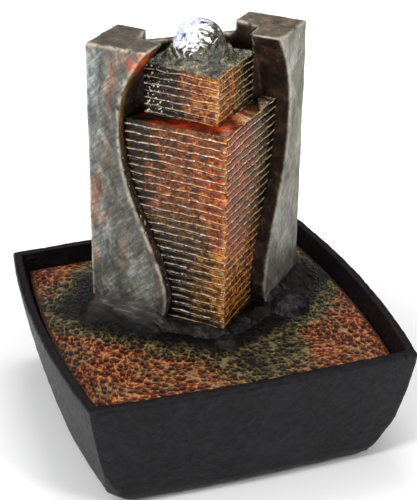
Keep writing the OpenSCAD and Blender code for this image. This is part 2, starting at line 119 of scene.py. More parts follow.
def add_studio():
    bpy.context.scene.view_settings.view_transform = "Standard"
    add_world()
    bpy.ops.mesh.primitive_plane_add(size=40)
    floor = bpy.context.object
    floor.name = "floor"
    paint = Paint("glowing_floor_paper")
    paint.set("Base Color", (0.9, 0.9, 0.9, 1))
    paint.set("Roughness", 0.8)
    # Painted light: the floor glows, more strongly away from the fountain, which whitens it outside the soft
    # contact shadow.
    paint.set("Emission Color", (1, 1, 1, 1))
    far = paint.math("SQRT", paint.plus(paint.squared("X"), paint.squared("Y")))
    paint.set("Emission Strength", paint.scaled(paint.band(far, 0.13, 0.4), 0.55))
    floor.data.materials.append(paint.material)
    add_lamp("key", (-1.0, -0.5, 0.9), (0.3, 0.3), 11)
    add_lamp("front", (0.45, -1.0, 0.9), (0.3, 0.3), 7)
    add_lamp("top", (0.1, 0.35, 1.25), (0.5, 0.5), 5)
    add_lamp("glint", (0.3, 1.1, 0.85), (0.06, 0.06), 0.7)


# ---- materials ----

def srgb(*levels):
    """A colour in 0 to 255 screen levels as linear values with alpha."""
    low = [c / 255 for c in levels]
    return tuple(c / 12.92 if c < 0.04045 else ((c + 0.055) / 1.055) ** 2.4 for c in low) + (1,)


class Paint:
    """A material and short names for the nodes that the finishes here are made of."""

    def __init__(self, name):
        self.material = bpy.data.materials.new(name)
        self.material.use_nodes = True
        self.tree = self.material.node_tree
        self.shader = self.tree.nodes["Principled BSDF"]
        self.place = self.tree.nodes.new("ShaderNodeTexCoord").outputs["Object"]

    def link(self, value, socket):
        """Feeds a socket from another node's output, or sets it. A colour's three numbers are screen
        levels."""
        if isinstance(value, bpy.types.NodeSocket):
            self.tree.links.new(value, socket)
        elif socket.type == "RGBA" and len(value) == 3:
            socket.default_value = srgb(*value)
        else:
            socket.default_value = value

    def set(self, socket, value):
        self.link(value, self.shader.inputs[socket])

    def node(self, kind, **inputs):
        """A new node with its inputs by name, where _ stands for a space."""
        node = self.tree.nodes.new("ShaderNode" + kind)
        for name, value in inputs.items():
            self.link(value, node.inputs[name.replace("_", " ")])
        return node

    def surface(self, colour, rough, specular=0.5):
        self.set("Base Color", colour)
        self.set("Roughness", rough)
        self.set("Specular IOR Level", specular)

    def math(self, operation, a, b=0.0):
        node = self.node("Math")
        node.operation = operation
        self.link(a, node.inputs[0])
        self.link(b, node.inputs[1])
        return node.outputs[0]

    def times(self, a, b):
        return self.math("MULTIPLY", a, b)

    def plus(self, a, b):
        return self.math("ADD", a, b)

    def scaled(self, value, factor, start=0.0):
        """start plus factor times a value."""
        total = self.math("MULTIPLY_ADD", value, factor)
        total.node.inputs[2].default_value = start
        return total

    def laid(self, sizes, turn=(0, 0, 0)):
        """The place measured in sizes along three axes, which are turned by turn first."""
        node = self.node("Mapping", Vector=self.place, Rotation=turn, Scale=sizes)
        node.vector_type = "TEXTURE"
        return node.outputs[0]

    def noise(self, size, detail=4, rough=0.55, stretch=(1, 1, 1), warp=0.0, turn=(0, 0, 0)):
        """Cloudy noise from 0 to 1 with features of about size metres times stretch."""
        place = self.laid(tuple(size * f for f in stretch), turn)
        return self.node("TexNoise", Vector=place, Scale=1, Detail=detail, Roughness=rough,
                         Distortion=warp).outputs[0]

    def strokes(self, width, length, lean):
        """Brush strokes on upright faces, leaning by lean degrees from upright."""
        stretch = (1, 1000, length / width)
        return self.noise(width, 5, 0.65, stretch, 0.25, (0, math.radians(lean), 0))

    def cells(self, size):
        """Distance from scattered points, which lie about size metres apart."""
        place = self.laid((size, size, size))
        return self.node("TexVoronoi", Vector=place, Scale=1).outputs["Distance"]

    def attribute(self, name):
        """A value that the mesh carries at each point."""
        node = self.node("Attribute")
        node.attribute_name = name
        return node.outputs["Fac"]

    def axis(self, letter):
        return self.node("SeparateXYZ", Vector=self.place).outputs[letter]

    def squared(self, letter):
        place = self.axis(letter)
        return self.times(place, place)

    def facing(self, letter):
        """How much a surface faces along an axis, from -1 to 1."""
        normal = self.node("NewGeometry").outputs["Normal"]
        return self.node("SeparateXYZ", Vector=normal).outputs[letter]

    def band(self, value, low, high, smooth=True):
        """0 below low, 1 above high and a ramp between, also where low is above high."""
        node = self.node("MapRange", Value=value, From_Min=low, From_Max=high)
        node.interpolation_type = "SMOOTHSTEP" if smooth else "LINEAR"
        return node.outputs["Result"]

    def ramp(self, value, stops):
        """Colours along a value, from positions with their screen levels."""
        node = self.node("ValToRGB", Fac=value)
        stripe = node.color_ramp
        while len(stripe.elements) < len(stops):
            stripe.elements.new(0.5)
        for element, (position, *levels) in zip(stripe.elements, stops):
            element.position = position
            element.color = srgb(*levels)
        return node.outputs["Color"]

    def mix(self, share, a, b, strength=None):
        """Colour a with a share of colour b over it, or with strength times that share."""
        node = self.node("Mix")
        share = self.scaled(share, strength) if strength else share
        node.data_type = "RGBA"
        self.link(share, node.inputs["Factor"])
        self.link(a, node.inputs[6])
        self.link(b, node.inputs[7])
        return node.outputs[2]

    def bump(self, height, depth, strength=1.0):
        """Relief of depth metres, over any bump that is already there."""
        node = self.node("Bump", Height=height, Distance=depth, Strength=strength)
        before = self.shader.inputs["Normal"]
        if before.is_linked:
            self.link(before.links[0].from_socket, node.inputs["Normal"])
        self.set("Normal", node.outputs[0])


def slate_finish(paint):
    """Near-black cast slate: faint blue mottling, fine scratches and pits."""
    clouds = paint.noise(0.035, 6, 0.65, warp=0.6)
    fine = paint.noise(0.004, 5, 0.7)
    base = paint.ramp(clouds, [(0.3, 7, 5, 8), (0.5, 12, 11, 13), (0.72, 24, 24, 27)])
    base = paint.mix(paint.band(fine, 0.42, 0.66), base, (38, 40, 44), 0.5)
    scratches = paint.band(paint.noise(0.006, 6, 0.75, (2.8, 2.8, 0.6), 1.5), 0.6, 0.72)
    base = paint.mix(scratches, base, (66, 70, 76), 0.55)
    sparse = paint.band(paint.noise(0.012, 2), 0.5, 0.6)
    pits = paint.times(paint.band(paint.cells(0.0042), 0.2, 0.06), sparse)
    base = paint.mix(pits, base, (6, 6, 7))
    inner = paint.ramp(fine, [(0.3, 10, 6, 9), (0.7, 24, 18, 21)])
    base = paint.mix(paint.attribute("inner"), base, inner)
    paint.surface(base, paint.scaled(paint.math("MAXIMUM", pits, fine), 0.45, 0.22), 0.14)
    paint.bump(fine, 0.001, 0.8)
    paint.bump(scratches, 0.0005, 0.8)
    paint.bump(paint.scaled(pits, -1, 1), 0.0008, 0.9)


def pewter_finish(paint):
    """Brushed pewter: slanting strokes with salmon, blue and brown blushes, paler on the right, dark
    brown niches with painted glints, a rusty corner and bright edges, partly worn and partly painted
    highlights."""
    z = paint.axis("Z")
    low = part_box("monolith")[0].z
    rising = paint.strokes(0.0013, 0.009, 38)
    falling = paint.strokes(0.0021, 0.01, -24)
    strokes = paint.plus(paint.scaled(rising, 0.65), paint.scaled(falling, 0.35))
    broad = paint.noise(0.013, 6, 0.7, (1, 1, 1.7), 0.6)
    tone = paint.plus(paint.scaled(strokes, 0.45), paint.scaled(broad, 0.55))
    base = paint.ramp(tone, [
        (0.36, 40, 40, 37), (0.45, 74, 74, 69),
        (0.53, 106, 106, 99), (0.63, 164, 164, 156)])
    blue = paint.band(paint.noise(0.026, 5, 0.6, (1, 1, 1.6), 0.5), 0.5, 0.64)
    base = paint.mix(blue, base, paint.ramp(tone, [
        (0.36, 38, 46, 54), (0.5, 86, 99, 108), (0.62, 154, 167, 174)]), 0.6)
    salmon = paint.band(paint.noise(0.026, 4, 0.6, (0.8, 0.8, 1.7), 0.8), 0.51, 0.62)
    on_left = paint.band(paint.axis("X"), 0.012, -0.012)
    base = paint.mix(paint.times(salmon, paint.scaled(on_left, 0.6, 0.1)), base, paint.ramp(tone, [
        (0.36, 58, 38, 30), (0.5, 126, 88, 70), (0.62, 182, 146, 124)]))
    base = paint.mix(paint.scaled(on_left, -0.48, 0.48), base, paint.ramp(tone, [
        (0.36, 92, 90, 78), (0.5, 146, 144, 128), (0.62, 196, 194, 178)]))
    brown = paint.band(paint.noise(0.018, 5, 0.65, (0.7, 0.7, 1.7), 0.9), 0.56, 0.68)
    base = paint.mix(brown, base, (62, 50, 40), 0.75)
    inside = paint.attribute("inside")
    niche = paint.ramp(paint.noise(0.012, 5, 0.6), [
        (0.3, 20, 10, 8), (0.52, 40, 26, 19), (0.72, 78, 54, 37)])
    gold = paint.times(on_left, paint.band(z, low + 0.09, low + 0.15))
    niche = paint.mix(paint.times(paint.attribute("lip"), gold), niche, paint.ramp(paint.noise(0.005, 4), [
        (0.35, 92, 62, 24), (0.65, 156, 120, 56)]))
    glints = paint.times(on_left, paint.band(paint.noise(0.0024, 3, 0.6), 0.62, 0.68))
    glints = paint.times(glints, paint.band(z, low + 0.15, low + 0.1))
    niche = paint.mix(glints, niche, (206, 204, 204), 0.7)
    base = paint.mix(inside, base, niche)
    rust = paint.times(paint.attribute("rust"), paint.band(paint.noise(0.006, 4), 0.34, 0.58))
    base = paint.mix(rust, base, paint.ramp(
        paint.noise(0.004, 4), [(0.3, 112, 36, 12), (0.6, 204, 88, 38)]))
    top = paint.band(paint.facing("Z"), 0.6, 0.85)
    top_colour = paint.ramp(paint.noise(0.009, 5, 0.7), [
        (0.3, 38, 36, 32), (0.46, 74, 67, 57), (0.58, 108, 88, 70), (0.72, 138, 112, 92)])
    top_colour = paint.mix(on_left, top_colour, (30, 30, 27), 0.45)
    base = paint.mix(top, base, top_colour)
    foot = paint.band(paint.noise(0.012, 4, 0.6), 0.2, 0.6)
    foot = paint.times(foot, paint.band(z, low + 0.03, low + 0.004))
    base = paint.mix(foot, base, paint.ramp(tone, [
        (0.38, 22, 20, 20), (0.52, 50, 44, 40), (0.62, 98, 92, 88)]), 0.85)
    # Bright edges: partly worn pewter, partly painted highlights along the sharp outward edges.
    edge = paint.times(paint.attribute("edge"), paint.band(paint.noise(0.006, 3), 0.36, 0.56))
    base = paint.mix(edge, base, (212, 204, 184), 0.8)
    paint.surface(base, paint.scaled(strokes, 0.4, 0.3), 0.22)
    paint.bump(tone, 0.0007, 0.7)
    paint.bump(paint.noise(0.0018, 3), 0.0002, 0.5)


def copper_finish(paint):
    """Wet copper-brown bands: gold at the front corner, dark and olive at the sides, painted highlights on
    the crests and painted shade in the grooves.
    """
    side = paint.attribute("across")
    z = paint.axis("Z")
    low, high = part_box("column_lower")[0].z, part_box("column_upper")[1].z
    ledge_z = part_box("column_upper")[0].z
    streaks = paint.noise(0.0048, 6, 0.68, (1, 1, 0.8), 1.2)
    grain = paint.noise(0.0016, 4, 0.65, (1, 1, 1.6), 0.8)
    blotch = paint.noise(0.016, 5, 0.6, warp=0.7)
    tone = paint.plus(paint.scaled(streaks, 0.7), paint.scaled(grain, 0.3))
    base = paint.ramp(tone, [
        (0.36, 20, 8, 3), (0.46, 66, 30, 10), (0.56, 124, 64, 24), (0.68, 204, 138, 78)])
    orange = paint.ramp(tone, [
        (0.36, 34, 8, 1), (0.46, 94, 28, 3), (0.56, 150, 58, 11), (0.68, 222, 134, 54)])
    dark = paint.ramp(tone, [(0.42, 4, 3, 2), (0.56, 12, 9, 6), (0.68, 48, 42, 32)])
    olive = paint.ramp(tone, [(0.38, 16, 14, 5), (0.52, 54, 48, 20), (0.66, 122, 110, 66)])
    from_corner = paint.math("MAXIMUM", paint.scaled(side, -1), paint.scaled(side, 0.55))
    near_corner = paint.band(from_corner, 0.5, 0.02)
    warm = paint.times(near_corner, paint.band(blotch, 0.4, 0.52))
    base = paint.mix(warm, base, orange, 0.9)
    shifted = paint.plus(side, paint.scaled(blotch, 0.9, -0.45))
    base = paint.mix(paint.band(shifted, 0.4, 0.6), base, olive, 0.85)
    height = paint.band(z, low, high, smooth=False)
    on_block = paint.band(z, ledge_z + 0.001, ledge_z + 0.003)
    gold = paint.times(paint.math("MAXIMUM", on_block, paint.band(height, 0.4, 0.25)), near_corner)
    gold = paint.times(gold, paint.band(streaks, 0.4, 0.54))
    base = paint.mix(gold, base, paint.ramp(tone, [
        (0.36, 44, 19, 2), (0.48, 122, 66, 12), (0.64, 218, 160, 74)]), 0.75)
    mossy = paint.times(paint.band(height, 0.55, 0.35), paint.band(shifted, -0.02, -0.2))
    base = paint.mix(mossy, base, olive, 0.75)
    wet_left = paint.band(shifted, -0.56, -0.84)
    base = paint.mix(wet_left, base, dark)
    lower_left = paint.times(paint.band(height, 0.45, 0.25), paint.band(shifted, -0.14, -0.4))
    base = paint.mix(lower_left, base, dark)
    base = paint.mix(paint.band(shifted, 0.68, 0.92), base, dark)
    block_left = paint.times(on_block, paint.band(shifted, -0.34, -0.6))
    base = paint.mix(block_left, base, dark)
    foot = paint.band(height, 0.12, 0.01)
    base = paint.mix(foot, base, dark, 0.75)
    # Painted shade: the groove under each rib's crest is darkened as its shadow.
    groove = paint.band(paint.attribute("lift"), 0.55, 0.1)
    base = paint.mix(groove, base, (14, 6, 3), 0.85)
    top = paint.band(paint.facing("Z"), 0.7, 0.9)
    ledge = paint.ramp(blotch, [(0.36, 44, 6, 0), (0.5, 96, 20, 1), (0.64, 156, 46, 5)])
    ledge = paint.mix(paint.band(paint.math("ABSOLUTE", shifted), 0.3, 0.8), ledge, (16, 4, 2))
    base = paint.mix(top, base, ledge)
    # Painted highlights: pale lines along the rib crests and the worn front corner, as if they caught the
    # light.
    crest = paint.times(paint.attribute("crest"), paint.band(paint.noise(0.0035, 4, 0.75), 0.36, 0.54))
    crest_highlight_colour = paint.mix(near_corner, (216, 184, 148), (250, 186, 118))
    base = paint.mix(crest, base, crest_highlight_colour)
    # Painted highlights: white glints dabbed on the wet crests and the block's wet left side, where water
    # drops would catch the light.
    wet = paint.math("MAXIMUM", paint.attribute("crest"), paint.scaled(paint.times(on_block, wet_left), 0.8))
    drops = paint.times(wet, paint.band(paint.noise(0.0019, 2, 0.5), 0.6, 0.66))
    base = paint.mix(drops, base, (252, 250, 244))
    paint.surface(base, paint.scaled(tone, 0.35, 0.06), 0.15)
    paint.set("Coat Weight", 0.1)
    paint.set("Coat Roughness", 0.06)
    paint.bump(tone, 0.0008, 0.85)


def rust_finish(paint):
    """Hammered rust and copper: dark pits, tan ridges that are partly painted highlights, olive then black
    where the water lands.
    """
    relief = paint.attribute("relief")
    wet = paint.attribute("wet")
    clouds = paint.noise(0.02, 5, 0.6, warp=0.6)
    fine = paint.noise(0.0014, 4, 0.65)
    height = paint.plus(relief, paint.scaled(fine, 0.7, -0.35))
    # The ridges between the dents are painted pale, partly as worn rust and copper and partly as painted
    # highlights.
    dry = paint.ramp(height, [
        (0.05, 10, 4, 3), (0.3, 33, 11, 5), (0.55, 70, 26, 10),
        (0.8, 108, 50, 23), (1.0, 186, 128, 84)])
    worn = paint.ramp(height, [
        (0.1, 12, 7, 5), (0.4, 38, 21, 13), (0.7, 82, 50, 30), (1.0, 152, 114, 76)])
    dry = paint.mix(paint.band(clouds, 0.46, 0.62), dry, worn)
    olive = paint.ramp(height, [
        (0.1, 7, 6, 4), (0.45, 25, 21, 12), (0.75, 58, 50, 30), (1.0, 126, 112, 76)])
    black = paint.ramp(height, [(0.2, 4, 3, 3), (0.6, 9, 7, 7), (1.0, 36, 31, 26)])
    patches = paint.plus(paint.scaled(clouds, 0.6, -0.3), paint.scaled(paint.noise(0.007, 4), 0.5, -0.25))
    reach = paint.plus(wet, patches)
    base = paint.mix(paint.band(reach, 0.1, 0.56), dry, olive)
    base = paint.mix(paint.band(reach, 0.52, 0.86), base, black)
    border = paint.attribute("border")
    base = paint.mix(border, base, (40, 14, 7), 0.6)
    paint.surface(base, paint.scaled(fine, 0.35, 0.22), 0.16)
    paint.bump(fine, 0.0004, 0.7)


def rock_finish(paint):
    """Black wet rock with painted highlights on its ridges, grey and brown streaks on the slopes under the
    steles, a dark boulder.
    """
    fine = paint.noise(0.003, 6, 0.7)
    clouds = paint.noise(0.012, 4, 0.6)
    base = paint.ramp(clouds, [(0.3, 7, 5, 6), (0.55, 16, 12, 12), (0.75, 34, 26, 22)])
    # Painted highlights: blue-grey flecks on the rock's rough ridges.
    base = paint.mix(paint.times(paint.attribute("ridge"), paint.band(fine, 0.4, 0.7)), base, (72, 69, 70))
    slope = paint.noise(0.0022, 5, 0.6, (7, 1, 3), 0.4, (0, 0, math.radians(-45)))
    streaks = paint.ramp(slope, [
        (0.36, 12, 10, 8), (0.47, 34, 31, 27), (0.56, 64, 60, 54), (0.68, 112, 110, 104)])
    brown = paint.band(paint.noise(0.012, 4), 0.52, 0.66)
    streaks = paint.mix(brown, streaks, (54, 34, 24), 0.7)
    base = paint.mix(paint.attribute("slope"), base, streaks)
    stone = paint.ramp(fine, [(0.34, 12, 10, 12), (0.5, 27, 24, 27), (0.68, 58, 54, 60)])
    base = paint.mix(paint.attribute("boulder"), base, stone)
    paint.surface(base, paint.scaled(fine, 0.4, 0.14), 0.18)
    paint.bump(fine, 0.0007, 0.8)


def dish_finish(paint):
    """Wet stone round the ball, dark olive to tan."""
    fine = paint.noise(0.002, 5, 0.7)
    tone = paint.plus(paint.scaled(paint.noise(0.006, 5, 0.65), 0.6), paint.scaled(fine, 0.4))
    base = paint.ramp(tone, [
        (0.36, 16, 17, 14), (0.46, 52, 53, 43), (0.54, 98, 94, 76), (0.64, 186, 172, 138)])
    paint.surface(base, paint.scaled(fine, 0.3, 0.04))
    paint.bump(fine, 0.0008, 0.9)


def glass_finish(paint):
    """Clear glass under running water: waves, and white foam with painted highlights over its upper left,
    towards the light.
    """
    centre, radius = ball_size()
    waves = paint.noise(0.01, 1, 0.5, warp=1.2)
    to_left = paint.scaled(paint.axis("X"), -0.6 / radius, 0.6 * centre.x / radius)
    up = paint.scaled(paint.axis("Z"), 0.8 / radius, -0.8 * centre.z / radius)
    high_left = paint.plus(to_left, up)
    swirl = paint.noise(0.009, 4, 0.55, (1, 1, 0.7), 2)
    # White foam with painted highlights over the ball's upper left, towards the light; there the glass lets
    # less light through.
    froth_and_highlight = paint.band(paint.plus(swirl, paint.scaled(high_left, 0.35)), 0.66, 0.72)
    tint = paint.ramp(swirl, [(0.42, 176, 184, 246), (0.55, 255, 255, 255)])
    paint.surface(paint.mix(froth_and_highlight, (250, 252, 255), tint), paint.scaled(froth_and_highlight, 0.25))
    paint.set("Transmission Weight", paint.scaled(froth_and_highlight, -0.85, 1))
    paint.set("IOR", 1.5)
    paint.bump(waves, 0.0007, 0.6)


def plain_finish(paint, light, dark, rough, metal=0.0, clear=0.0, ior=1.5):
    """A moulded, cast or machined finish: a slight cloudiness and a fine grain."""
    clouds = paint.noise(0.016, 4)
    grain = paint.noise(0.002, 5, 0.65)
    tone = paint.plus(paint.scaled(clouds, 0.6), paint.scaled(grain, 0.4))
    paint.surface(paint.ramp(tone, [(0.35, *dark), (0.65, *light)]), paint.scaled(grain, 0.2, rough))
    paint.set("Metallic", metal)
    paint.set("Transmission Weight", clear)
    paint.set("IOR", ior)
    paint.bump(grain, 0.00008, 0.5)


def foam_finish(paint):
    """Open-cell foam of the filter."""
    holes = paint.cells(0.0014)
    paint.surface(paint.ramp(holes, [(0.2, 10, 11, 13), (0.6, 58, 62, 70)]), paint.scaled(holes, 0.1, 0.85))
    paint.bump(holes, 0.0006)


def core_finish(paint):
    """Steel laminations stacked along the pump."""
    sheets = paint.noise(0.0008, 2, 0.5, stretch=(0.02, 1, 0.02))
    steel = paint.ramp(sheets, [(0.35, 88, 88, 92), (0.6, 176, 176, 180)])
    paint.surface(steel, paint.scaled(sheets, 0.2, 0.3))
    paint.set("Metallic", 0.9)
    paint.bump(sheets, 0.0002)


def coil_finish(paint):
    """Enamelled copper turns."""
    turns = paint.noise(0.0005, 2, 0.5, stretch=(1, 0.03, 0.03))
    copper = paint.ramp(turns, [(0.35, 92, 34, 10), (0.6, 214, 118, 58)])
    paint.surface(copper, paint.scaled(turns, 0.2, 0.25))
    paint.set("Metallic", 0.7)
    paint.bump(turns, 0.0003)


def all_finishes():
    """Every material slot's finish, by the slot's name."""
    black, char = (34, 35, 37), (20, 21, 22)
    plain = {
        "foot_rubber": ((48, 48, 48), (26, 26, 26), 0.7),
        "pump_plastic": (black, char, 0.38),
        "potting_resin": ((24, 24, 25), (12, 12, 12), 0.12),
        "shaft_ceramic": ((240, 238, 230), (226, 222, 210), 0.15),
        "bush_rubber": ((40, 40, 42), (22, 22, 23), 0.62),
        "seal_silicone": ((172, 66, 46), (140, 46, 32), 0.45),
        "rotor_ferrite": ((74, 70, 66), (46, 43, 41), 0.55),
        "impeller_plastic": ((232, 230, 220), (212, 209, 196), 0.32),
        "regulator_plastic": ((150, 156, 164), (124, 130, 138), 0.32),
        "bumper_silicone": ((212, 212, 206), (186, 186, 180), 0.4),
        "nozzle_plastic": ((216, 220, 224), (196, 202, 208), 0.3),
        "lamp_plastic": (black, char, 0.25),
        "board_laminate": ((30, 106, 60), (16, 74, 40), 0.25),
        "lead_sheath": ((36, 36, 37), (22, 22, 22), 0.42),
        "screw_steel": ((196, 196, 198), (158, 158, 162), 0.28, 1.0),
        "cup_acrylic": ((244, 248, 250), (232, 240, 244), 0.02, 0.0, 1.0, 1.49),
        "hose_pvc": ((226, 232, 236), (206, 216, 222), 0.12, 0.0, 0.75, 1.53),
        "led_epoxy": ((250, 246, 214), (240, 228, 176), 0.1, 0.0, 0.35),
    }
    special = {
        "slate_resin": slate_finish, "pewter_resin": pewter_finish, "copper_resin": copper_finish,
        "rust_resin": rust_finish, "rock_resin": rock_finish, "dish_resin": dish_finish,
        "ball_glass": glass_finish, "filter_foam": foam_finish, "core_steel": core_finish,
        "coil_wire": coil_finish,
    }
    finishes = {}
    for name in (*plain, *special):
        paint = Paint(name)
        if name in special:
            special[name](paint)
        else:
            plain_finish(paint, *plain[name])
        finishes[name] = paint.material
    return finishes


# ---- mesh helpers ----

def make_mesh(name, points, faces):
    """A smooth-shaded mesh object from an array of points and a list of faces."""
    mesh = bpy.data.meshes.new(name)
    mesh.from_pydata([tuple(p) for p in points], [], faces)
    mesh.validate()
    mesh.shade_smooth()
    thing = bpy.data.objects.new(name, mesh)
    bpy.context.collection.objects.link(thing)
    return thing


def ring_faces(rings, count, caps=True):
    """Faces of a tube of rings with count points each, closed at both ends by caps."""
    faces = []
    for r in range(rings - 1):
        for i in range(count):
            j = (i + 1) % count
            faces.append((r * count + i, r * count + j, (r + 1) * count + j, (r + 1) * count + i))
    if caps:
        faces.append(tuple(range(count))[::-1])
        faces.append(tuple((rings - 1) * count + i for i in range(count)))
    return faces


def read(items, name, width=3, kind=float):
    """One row of values for each of a mesh's vertices or edges."""
    flat = np.empty(len(items) * width, kind)
    items.foreach_get(name, flat)
    return flat.reshape(-1, width)


def points_of(mesh):
    return read(mesh.vertices, "co")


def normals_of(mesh):
    return read(mesh.vertices, "normal")


def move_points(mesh, points):
    mesh.vertices.foreach_set("co", points.ravel())
    mesh.update()


def carry(mesh, **layers):
    """Stores values at each point for the materials to read."""
    for name, values in layers.items():
        layer = mesh.attributes.new(name, "FLOAT", "POINT")
        layer.data.foreach_set("value", np.asarray(values, np.float32))


def clouds(points, size, octaves=3, seed=0.0):
    """Smooth noise, about -1 to 1, with features of about size metres."""
    shift = Vector((seed, seed * 1.7, seed * 0.3))
    return np.array([noise.fractal(Vector(p) / size + shift, 1.0, 2.0, octaves) for p in points])


def ramp(values, low, high):
    """0 at low, 1 at high, smooth between."""
    t = np.clip((values - low) / (high - low), 0, 1)
    return t * t * (3 - 2 * t)


def edges_of(mesh):
    return read(mesh.edges, "vertices", 2, int)


def neighbour_mean(values, edges):
    """Each point's mean over the points that an edge joins it to."""
    a, b = edges[:, 0], edges[:, 1]
    total = np.zeros_like(values)
    np.add.at(total, a, values[b])
    np.add.at(total, b, values[a])
    count = np.bincount(edges.ravel(), minlength=len(values))
    return total / np.maximum(count, 1).reshape((-1,) + (1,) * (values.ndim - 1))


def smooth_points(mesh):
    """Moves each point halfway to its neighbours' middle."""
    points = points_of(mesh)
    move_points(mesh, (points + neighbour_mean(points, edges_of(mesh))) / 2)


def edge_wear_and_highlight(mesh, full):
    """How sharply the surface turns outwards at each point, from 0 to 1 at full metres of bulge."""
    points, normals, edges = points_of(mesh), normals_of(mesh), edges_of(mesh)
    bulge = ((points - neighbour_mean(points, edges)) * normals).sum(axis=1)
    return np.clip((bulge + neighbour_mean(bulge, edges)) / 2 / full, 0, 1)


def middle_of(node):
    low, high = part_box(node)
    return (low + high) / 2


def ball_size():
    """The glass ball's centre and radius."""
    low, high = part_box("glass_ball")
    return (low + high) / 2, (high.z - low.z) / 2


def circle(count):
    """Evenly spaced angles, and the directions they point in."""
    angles = np.arange(count) * 2 * math.pi / count
    return angles, np.column_stack((np.cos(angles), np.sin(angles)))


def ring_at(centre, ways, radius, z):
    """Points at height z, each a radius out from centre along its own direction."""
    flat = np.array((centre.x, centre.y)) + ways * np.asarray(radius)[:, None]
    return np.column_stack((flat, np.full(len(ways), z)))


def ring_mesh(name, rings):
    """A mesh of rings with the same number of points each, where the last ring joins the first."""
    count = len(rings[0])
    total = len(rings) * count
    faces = [tuple(i % total for i in face) for face in ring_faces(len(rings) + 1, count, caps=False)]
    return make_mesh(name, np.concatenate(rings), faces)


def apply_modifiers(thing):
    graph = bpy.context.evaluated_depsgraph_get()
    mesh = bpy.data.meshes.new_from_object(thing.evaluated_get(graph))
    thing.modifiers.clear()
    thing.data = mesh


def remesh(thing, voxel):
    """Rebuilds a closed mesh from evenly spaced points."""
    step = thing.modifiers.new("voxels", "REMESH")
    step.mode = "VOXEL"
    step.voxel_size = voxel
    apply_modifiers(thing)
    thing.data.shade_smooth()


def cut(thing, *tools):
    """Takes the tools' shapes out of thing."""
    for tool in tools:
        step = thing.modifiers.new("cut", "BOOLEAN")
        step.operation = "DIFFERENCE"
        step.solver = "EXACT"
        step.object = tool
        apply_modifiers(thing)
        bpy.data.objects.remove(tool)


def tree_of(node):
    """A CAD node's surface, for finding it along a line."""
    mesh = frame["nodes"][node].data
    return BVHTree.FromPolygons([v.co for v in mesh.vertices], [p.vertices for p in mesh.polygons])


def finish_piece(thing, body, slot, *nodes):
    """Gives a piece its finish, its body and the CAD nodes that it stands for."""
    thing.data.materials.clear()
    thing.data.materials.append(FINISHES[slot])
    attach(thing, body)
    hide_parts(*nodes)


# ---- pieces ----

def ridge_angles(surface, centre, z):
    """Angles of the four corner ridges at height z, where the outline is furthest out."""
    found = []
    for corner in (45, 135, 225, 315):
        angles = [math.radians(corner + step * 0.1) for step in range(-40, 41)]
        found.append(max(angles, key=lambda a: reach(surface, centre, a, z)))
    return found


def reach(surface, centre, angle, z, outwards=False):
    """Distance from the centre line to a surface, met from outside or from inside."""
    way = Vector((math.cos(angle), math.sin(angle), 0))
    start = Vector((centre.x, centre.y, z))
    if outwards:
        return surface.ray_cast(start, way)[3] or 0.0
    return 0.3 - (surface.ray_cast(start + way * 0.3, -way)[3] or 0.3)


